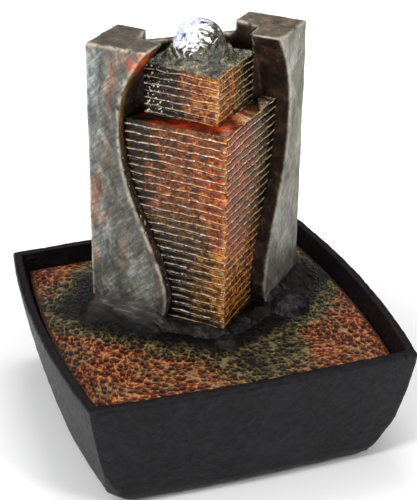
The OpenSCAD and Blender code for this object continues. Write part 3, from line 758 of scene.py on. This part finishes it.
def basin():
    """The slate basin: the CAD outline taken level by level, with cast relief."""
    surface = tree_of("basin_shell")
    low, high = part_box("basin_shell")
    centre = middle_of("basin_shell")
    ledge_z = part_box("deck_bumpers")[0].z
    floor_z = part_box("suction_cups")[0].z
    per_side = 130
    hair = 0.02 * MM
    bore_low, bore_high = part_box("cord_grommet")
    bore_middle = middle_of("cord_grommet")
    margin = 1 * MM
    bore_from = math.atan2(bore_low.y, bore_high.x + margin)
    bore_to = math.atan2(bore_low.y, bore_low.x - margin)

    def outline(z, outwards):
        """The wall's outline at a height, bridging the cord's hole."""
        ridges = ridge_angles(surface, centre, z) if not outwards else [
            math.radians(a) for a in (45, 135, 225, 315)]
        ridges.append(ridges[0] + 2 * math.pi)
        angles = np.concatenate([
            np.linspace(ridges[side], ridges[side + 1], per_side, endpoint=False) for side in range(4)])
        far = np.array([reach(surface, centre, a, z, outwards) for a in angles])
        if bore_low.z - margin < z < bore_high.z + margin:
            clear = (angles < bore_from) | (angles > bore_to)
            far = np.interp(angles, angles[clear], far[clear])
        return np.column_stack((
            centre.x + far * np.cos(angles), centre.y + far * np.sin(angles), np.full(len(far), z)))

    def between(a, b, shares):
        return [a + (b - a) * s for s in shares]

    wall = np.linspace(low.z + 0.1 * MM, high.z - 1.4 * MM, 58)
    outside = [outline(z, False) for z in wall]
    base = outside[0].copy()
    base[:, 2] = low.z
    middle = np.array([(centre.x, centre.y, low.z)])
    rings_outside = between(middle, base, (0.1, 0.4, 0.7, 0.9, 0.97)) + outside
    rim_out, rim_in = outline(high.z - hair, False), outline(high.z - hair, True)
    rim_out[:, 2] = rim_in[:, 2] = high.z
    rings = rings_outside + between(rim_out, rim_in, (0, 0.25, 0.5, 0.75, 1))
    rings += [outline(z, True) for z in np.linspace(high.z - 1 * MM, ledge_z + 0.3 * MM, 12)]
    ledge_in = outline(ledge_z - 0.5 * MM, True)
    ledge_in[:, 2] = ledge_z
    ledge_out = rings[-1].copy()
    ledge_out[:, 2] = ledge_z
    rings += between(ledge_out, ledge_in, (0.2, 0.6, 1))
    rings += [outline(z, True) for z in np.linspace(ledge_z - 2 * MM, floor_z + 0.2 * MM, 8)]
    floor = rings[-1].copy()
    floor[:, 2] = floor_z
    middle[:, 2] = floor_z
    rings += between(floor, middle, (0.05, 0.3, 0.6, 0.9))
    count = 4 * per_side
    thing = make_mesh("basin", np.concatenate(rings), ring_faces(len(rings), count))
    points, normals = points_of(thing.data), normals_of(thing.data)
    relief = 0.35 * clouds(points, 0.014, 4, 3) + 0.2 * clouds(points, 0.004, 3, 7)
    quiet = np.where(points[:, 2] < low.z + 0.5 * MM, 0, 1)
    move_points(thing.data, points + normals * (relief * quiet * MM)[:, None])
    inner = np.zeros(len(points))
    inner[len(rings_outside) * count:] = 1
    carry(thing.data, inner=inner)
    bpy.ops.mesh.primitive_cylinder_add(
        radius=6 * MM, depth=0.04, vertices=64, rotation=(math.pi / 2, 0, 0),
        location=(bore_middle.x, bore_low.y + 0.01, bore_middle.z))
    cut(thing, bpy.context.object)
    finish_piece(thing, "basin", "slate_resin", "basin_shell")


def hammered(points, pitch):
    """Height of a hammered surface, from 0 in a dent's middle to 1 on the ridges between dents."""
    heights = []
    for p in points:
        near = noise.voronoi(Vector((p[0], p[1], 0)) / pitch)[0]
        heights.append(min(1.0, near[0] / near[1]))
    return np.array(heights) ** 1.5


def stone_plan():
    """Corners of the convex outline that the stone stands on, counterclockwise."""
    points = []
    for node in ("monolith", "column_lower"):
        corners = [v.co for v in frame["nodes"][node].data.vertices]
        base = min(c.z for c in corners)
        points += [c.to_2d() for c in corners if c.z < base + 1 * MM]
    return np.array([points[i] for i in geometry.convex_hull_2d(points)])


def outside(plan, flat):
    """Distance of each point from a convex outline, negative inside it."""
    sides = np.roll(plan, -1, axis=0) - plan
    lengths = np.linalg.norm(sides, axis=1)
    away, inside = np.full(len(flat), np.inf), np.full(len(flat), -np.inf)
    for start, side, length in zip(plan, sides, lengths):
        if length < 1e-6:
            continue
        offset = flat - start
        share = np.clip(offset @ side / length ** 2, 0, 1)
        away = np.minimum(away, np.linalg.norm(offset - share[:, None] * side, axis=1))
        inside = np.maximum(inside, (offset[:, 0] * side[1] - offset[:, 1] * side[0]) / length)
    return np.where(inside < 0, -away, away)


def deck():
    """The hammered deck, with a hole for the hose and two return slots."""
    surface = tree_of("deck")
    low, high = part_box("deck")
    middle_z = (low.z + high.z) / 2
    axis = middle_of("delivery_hose")
    dent, dent_depth, slot_margin = 3.7 * MM, 1.15 * MM, 2 * MM
    pool = (axis.x + 12 * MM, axis.y - 72 * MM)
    count, steps = 640, 148
    angles, ways = circle(count)
    far = np.array([reach(surface, axis, a, middle_z) for a in angles])

    def ring(share, z):
        return ring_at(axis, ways, CHANNEL + (far - CHANNEL) * share, z)

    shares = [(i / steps) ** 0.8 for i in range(steps + 1)]
    under = (1, 0.7, 0.4)
    rings = [ring(0, low.z)] + [ring(s, high.z) for s in shares] + [ring(s, low.z) for s in under]
    thing = ring_mesh("hammered_deck", rings)
    points = points_of(thing.data)
    top = points[:, 2] > high.z - 1e-6
    hidden = [np.zeros(count)]
    from_edge = hidden + [(1 - s) * (far - CHANNEL) for s in shares] + hidden * len(under)
    border = 1 - ramp(np.concatenate(from_edge), 0.5 * MM, 3 * MM)
    warp = np.column_stack([clouds(points, 0.006, 2, s) for s in (1, 5, 9)]) * 1.3 * MM
    cells = np.where(top, hammered(points + warp, dent), 0)
    away = outside(stone_plan(), points[:, :2])
    worn = ramp(away, 6 * MM, 26 * MM)
    cells = cells * (0.3 + 0.7 * worn) + 0.35 * (1 - worn)
    wide = clouds(points, 0.03, 2, 12) * 0.35 * MM
    points[:, 2] += (1 - border) * np.where(top, (cells - 0.75) * dent_depth + wide, 0)
    move_points(thing.data, points)
    from_pool = np.hypot(points[:, 0] - pool[0], points[:, 1] - pool[1])
    wet = np.maximum(1 - ramp(away, 6 * MM, 54 * MM), 0.68 * (1 - ramp(from_pool, 18 * MM, 54 * MM)))
    # relief is 0 in the dents and 1 on the ridges; the rust finish paints the ridges pale, partly as
    # highlights.
    carry(thing.data, relief=cells * (1 - border) + 0.45 * border, wet=wet, border=border)
    slots = []
    for opening in frame["record"]["physics"]["openings"]:
        if opening["name"].startswith("return_slot"):
            lowest, highest = (Vector(corner) for corner in opening["box_m"])
            middle, size = (lowest + highest) / 2, highest - lowest
            bpy.ops.mesh.primitive_cube_add(size=1, location=(middle.x, middle.y, middle_z))
            bpy.context.object.scale = (size.x + slot_margin, size.y + slot_margin, 0.02)
            slots.append(bpy.context.object)
    bpy.context.view_layer.update()
    cut(thing, *slots)
    finish_piece(thing, "insert", "rust_resin", "deck")


def monolith():
    """The split monolith: hand-worked faces, soft worn edges."""
    low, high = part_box("monolith")
    thing = bpy.data.objects.new("split_monolith", frame["nodes"]["monolith"].data.copy())
    bpy.context.collection.objects.link(thing)
    remesh(thing, 1.05 * MM)
    mesh = thing.data
    smooth_points(mesh)
    points, normals = points_of(mesh), normals_of(mesh)
    above = ramp(points[:, 2], low.z, low.z + 2 * MM)
    relief = 0.3 * clouds(points, 0.02, 3, 2) + 0.12 * clouds(points * (1, 1, 0.5), 0.005, 3, 4)
    move_points(mesh, points + normals * (relief * above * MM)[:, None])
    # The edge values mark sharp outward edges, which the pewter finish paints bright, partly as wear and
    # partly as highlights.
    carry(mesh, edge=edge_wear_and_highlight(mesh, 0.2 * MM))
    left_along, left_out = face_place(points[:, :2], -1)
    right_along, right_out = face_place(points[:, :2], 1)
    behind = -np.maximum(left_out, right_out)
    from_side = np.minimum(left_along, right_along)
    front_wall = points[:, 1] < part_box("column_upper")[1].y + 3 * MM
    inside = ramp(behind, 0.6 * MM, 1.6 * MM) * (from_side > 14 * MM) * front_wall
    inside *= 1 - ramp(normals[:, 2], 0.5, 0.8)
    carry(mesh, inside=inside)
    carry(mesh, lip=1 - ramp(behind, 2 * MM, 8 * MM))
    from_corner = np.hypot(left_along - 36 * MM, (points[:, 2] - high.z + 9 * MM) * 0.6)
    rust = (1 - ramp(from_corner, 3 * MM, 11 * MM)) * (points[:, 0] < (low.x + high.x) / 2)
    carry(mesh, rust=rust * (1 - ramp(behind, 12 * MM, 20 * MM)))
    finish_piece(thing, "insert", "pewter_resin", "monolith")


def ribbed(name, node, width, run, rib):
    """Part of the column: two front faces with irregular ribs, closed behind. run tells how far the
    face on a side goes back from the front corner at a height."""
    low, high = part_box(node)
    corner = np.array((middle_of("delivery_hose").x, low.y))
    ways = {side: np.array((side, 1)) * HALF_ROOT for side in (-1, 1)}
    inwards = {side: ways[-side] for side in (-1, 1)}
    along, step = 84, 0.42 * MM
    groove, wall, crest_at = 1.5 * MM, 14 * MM, 0.16
    levels = int((high.z - low.z) / step)
    count = round((high.z - low.z) / rib)
    pitch = (high.z - low.z) / count
    rows, crests, lifts, across = [], [], [], []
    for k in range(levels + 1):
        z = low.z + (high.z - low.z) * k / levels
        row = []
        for side in ways:
            far = run(side, z)
            for i in range(along):
                share = 1 - i / along if side < 0 else (i + 1) / along
                s = far * share
                flat = corner + ways[side] * s
                here = Vector((flat[0], flat[1], z))
                sway = noise.fractal(here / 0.009 + Vector((0, 0, side * 3)), 1.0, 2.0, 3) * 0.7 * MM
                dip = 1.6 * MM * math.exp(-s / (14 * MM))
                wave = (z - low.z + sway + dip + 0.2 * pitch * side) / pitch
                f = wave - math.floor(wave)
                lip = rib_profile(1 - f)
                wear = noise.fractal(here / 0.0035, 1.0, 2.0, 3)
                depth = (1 - lip) * groove * (1 + 0.3 * wear) - 0.3 * wear * MM
                corner_wear = math.exp(-(s / (2.2 * MM)) ** 2)
                depth += corner_wear * (0.8 + 1.3 * wear) * MM
                at = flat + inwards[side] * depth
                row.append((at[0], at[1], z))
                # crest marks the rib crests and the worn front corner, where the copper finish paints pale
                # highlights; lift marks the grooves, where it paints shade.
                thin = 0.07 * (1 + 0.5 * wear)
                crests.append(math.exp(-((f - crest_at) / thin) ** 2) + 0.45 * corner_wear)
                lifts.append(lip)
                across.append(side * s / width)
        for side in (1, -1):
            back = corner + ways[side] * run(side, z) + inwards[side] * wall
            row.append((back[0], back[1], z))
            crests.append(0)
            lifts.append(1)
            across.append(side)
        rows.append(np.array(row))
    thing = make_mesh(name, np.concatenate(rows), ring_faces(len(rows), len(rows[0])))
    carry(thing.data, crest=crests, lift=lifts, across=across)
    finish_piece(thing, "insert", "copper_resin", node)
    return thing


def bore(thing, steps):
    """Cuts a round hole about the hose's axis out of thing, from (height, radius) pairs going up."""
    axis, count = middle_of("delivery_hose"), 72
    ways = circle(count)[1]
    rings = [ring_at(axis, ways, [r] * count, z) for z, r in steps]
    cut(thing, make_mesh("bore", np.concatenate(rings), ring_faces(len(steps), count)))


def rib_profile(f):
    """One rib's outline over its height, 1 at its crest: it swells upwards, then drops into a groove."""
    crest = 0.86
    if f < crest:
        return 0.1 + 0.6 * math.sin(min(1.0, f / 0.3) * math.pi / 2) + 0.3 * (f / crest) ** 5
    return max(0.1, 1 - ((f - crest) / (1 - crest)) ** 1.5)


def column():
    width, lap = 71 * MM, 0.9 * MM
    surface = tree_of("monolith")
    low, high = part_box("column_lower")
    block_low, block_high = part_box("column_upper")
    block = (block_high.x - block_low.x) * HALF_ROOT
    axis_x = middle_of("delivery_hose").x

    def run(side, z):
        """How far the face on a side goes before it meets the stele."""
        start = Vector((axis_x, low.y + 2.6 * MM, z))
        hit = surface.ray_cast(start, Vector((side, 1, 0)).normalized())
        return min(width, (hit[3] or width) + lap)

    bore(ribbed("ribbed_column", "column_lower", width, run, 5.2 * MM),
         [(low.z - 1 * MM, CHANNEL), (high.z + 1 * MM, CHANNEL)])
    lamp_z, dish_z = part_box("lamp_housing")[0].z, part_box("spout_dish")[0].z
    lamp_r, dish_r = 16.2 * MM, 19.5 * MM
    bore(ribbed("ribbed_block", "column_upper", block, lambda side, z: block, 4.6 * MM),
         [(block_low.z - 1 * MM, CHANNEL), (lamp_z, CHANNEL), (lamp_z + 0.1 * MM, lamp_r),
          (dish_z, lamp_r), (dish_z + 0.1 * MM, dish_r), (block_high.z + 1 * MM, dish_r)])


def face_place(flat, side):
    """How far points lie along the left (-1) or right (1) front face from its outer corner, and how
    far out in front of it."""
    low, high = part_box("monolith")
    outer = low.x if side < 0 else high.x
    corner_y = next(c.co.y for c in frame["nodes"]["monolith"].data.vertices
                    if abs(c.co.x - outer) < 0.1 * MM and c.co.z < low.z + 1 * MM)
    offset = (flat - (outer, corner_y)) * HALF_ROOT
    return offset @ (-side, -1), offset @ (side, -1)


def skirt():
    """The rock round the monolith's foot: slopes that the steles spread into, lumps and a boulder."""
    deck_low, deck_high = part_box("deck")
    deck_top, deck_middle = deck_high.z, (deck_low.z + deck_high.z) / 2
    under_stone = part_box("monolith")[0].z
    axis = middle_of("delivery_hose")
    plan = stone_plan()
    count, steps, width = 620, 100, 27 * MM
    angles, ways = circle(count)
    radii = np.linspace(20 * MM, 110 * MM, 400)
    rays = [np.array(axis.to_2d()) + way * radii[:, None] for way in ways]
    edge = smooth_ring(np.array([radii[np.argmax(outside(plan, ray) > 0)] for ray in rays]), 6)
    deck_surface = tree_of("deck")
    deck_edge = np.array([reach(deck_surface, axis, a, deck_middle) for a in angles])
    outer = np.minimum(edge + width, deck_edge - 1.5 * MM)
    inner = edge - 6 * MM
    rings = [([CHANNEL] * count, deck_top - 1 * MM), ([CHANNEL] * count, under_stone),
             (edge - 12 * MM, under_stone)]
    hidden = len(rings) * count
    rings += [(inner + (outer - inner) * i / steps, deck_top) for i in range(steps + 1)]
    shown = len(rings) * count
    rings += [(outer, deck_top - 2 * MM), (outer / 2, deck_top - 2 * MM)]
    thing = ring_mesh("rock_skirt", [ring_at(axis, ways, radius, z) for radius, z in rings])
    mesh = thing.data
    points = points_of(mesh)
    away = outside(plan, points[:, :2])
    height = 3.6 * MM * np.exp(-(np.maximum(away, 0) / (6.5 * MM)) ** 2)
    streaked, smooth = np.zeros(len(points)), np.zeros(len(points))
    for side, foot_end, tall in ((-1, 53 * MM, 13 * MM), (1, 50 * MM, 10 * MM)):
        along, out = face_place(points[:, :2], side)
        foot = ramp(along, -9 * MM, 3 * MM) * (1 - ramp(along, foot_end - 8 * MM, foot_end + 4 * MM))
        fall = np.exp(-np.maximum(away + 1.5 * MM, 0) / (6.5 * MM)) * ramp(out, -7 * MM, 0)
        height = np.maximum(height, tall * foot * fall)
        streaked = np.maximum(streaked, foot * ramp(fall, 0.08, 0.6) * (1 if side < 0 else 0.5))
        smooth = np.maximum(smooth, foot * ramp(fall, 0.02, 0.2))
    boulder_along, boulder_out, boulder_radius, boulder_height = 43 * MM, 14 * MM, 12.5 * MM, 10.5 * MM
    along, out = face_place(points[:, :2], 1)
    from_boulder = np.hypot(along - boulder_along, (out - boulder_out) * 1.05) / boulder_radius
    from_boulder += 0.07 * clouds(points, 0.008, 2, 31)
    boulder = boulder_height * np.sqrt(np.clip(1 - from_boulder ** 2, 0, 1)) ** 0.8
    lump_y = plan[:, 1].min() - 11 * MM
    from_lump = np.hypot(points[:, 0] - axis.x, points[:, 1] - lump_y) / (7 * MM)
    height = np.maximum(height, 3.2 * MM * np.exp(-from_lump ** 2))
    on_boulder = ramp(boulder - height, 0, 1.5 * MM)
    height = np.maximum(height, boulder)
    rough = clouds(points, 0.011, 4, 21) * 0.9 + clouds(points, 0.0035, 3, 8) * 0.35
    height += rough * MM * (0.4 + 0.6 * ramp(height, 0, 4 * MM)) * (1 - 0.85 * smooth)
    sunk = 1.3 * MM
    surface = deck_top - sunk + height + sunk * ramp(height, 0, 2.4 * MM)
    points[hidden:shown, 2] = surface[hidden:shown]
    move_points(mesh, points)
    # The first value marks the rough rock's ridges, where the rock finish paints highlights.
    carry(mesh, ridge=np.clip(rough * 0.9, 0, 1), slope=streaked, boulder=on_boulder)
    finish_piece(thing, "insert", "rock_resin", "rock_plinth")


def smooth_ring(values, rounds):
    for _ in range(rounds):
        values = (np.roll(values, 1) + 2 * values + np.roll(values, -1)) / 4
    return values


def wet_crust():
    """The lumpy wet top of the block, with the hollow that the ball's cup stands in."""
    low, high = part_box("spout_dish")
    block_low, block_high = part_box("column_upper")
    axis = middle_of("spout_dish")
    half_side = (block_high.x - block_low.x) / 2 * HALF_ROOT - 0.5 * MM
    hollow, seat = 14.7 * MM, 19.4 * MM
    count, steps = 360, 44
    angles, ways = circle(count)
    turned = np.abs(np.cos(angles - math.pi / 4)), np.abs(np.sin(angles - math.pi / 4))
    edge = smooth_ring(half_side / np.maximum(*turned), 3)
    behind = np.maximum(ways[:, 1], 0.05)
    edge = np.minimum(edge, np.where(behind > 0.05, (block_high.y - axis.y) / behind, edge))

    def ring(share, z):
        return ring_at(axis, ways, hollow + (edge - hollow) * share, z)

    rings = [ring(0, low.z)] + [ring(i / steps, high.z) for i in range(steps + 1)]
    seat_share = np.clip((seat - hollow) / (edge - hollow), 0, 1)
    rings += [ring(1, high.z - 2 * MM), ring(seat_share, low.z + 2 * MM)]
    thing = ring_mesh("wet_crust", rings)
    points = points_of(thing.data)
    out = np.hypot(points[:, 0] - axis.x, points[:, 1] - axis.y)
    top = points[:, 2] > high.z - 0.5 * MM
    rise = ramp(out, hollow, hollow + 6 * MM)
    lumps = clouds(points, 0.007, 3, 41) * 1.1 + np.abs(clouds(points, 0.0035, 2, 17)) * 0.8
    lift = (-1.5 * (1 - rise) + (lumps + 0.3) * rise) * MM
    collar = np.exp(-((out - hollow - 3.4 * MM) / (3 * MM)) ** 2) * ramp(out, hollow, hollow + 1.2 * MM)
    collar *= 5.5 * MM * (1 + 0.6 * clouds(points, 0.009, 2, 71))
    points[:, 2] += np.where(top, lift + collar, 0)
    move_points(thing.data, points)
    finish_piece(thing, "insert", "dish_resin", "spout_dish")


def ball():
    """The glass ball, with shallow waves that lie inside the true sphere."""
    centre, radius = ball_size()
    bpy.ops.mesh.primitive_ico_sphere_add(subdivisions=6, radius=radius, location=(0, 0, 0))
    thing = bpy.context.object
    thing.name = "wavy_glass_ball"
    mesh = thing.data
    points = points_of(mesh)
    waves = clouds(points, 0.007, 2, 55)
    depth = 0.5 * MM * (0.5 - 0.5 * np.clip(waves * 1.6, -1, 1))
    points *= (1 - depth / radius)[:, None]
    move_points(mesh, points + np.array(centre))
    mesh.shade_smooth()
    finish_piece(thing, "ball", "ball_glass", "glass_ball")


def dress_cad_nodes():
    """Gives each CAD node that still shows its slot's finish."""
    for entry in frame["record"]["subparts"]:
        node = frame["nodes"][entry["node"]]
        if node.hide_render:
            continue
        node.data.materials.clear()
        node.data.materials.append(FINISHES[entry["material_slot"]])


FINISHES = all_finishes()
add_camera()
add_studio()
basin()
deck()
monolith()
column()
skirt()
wet_crust()
ball()
dress_cad_nodes()
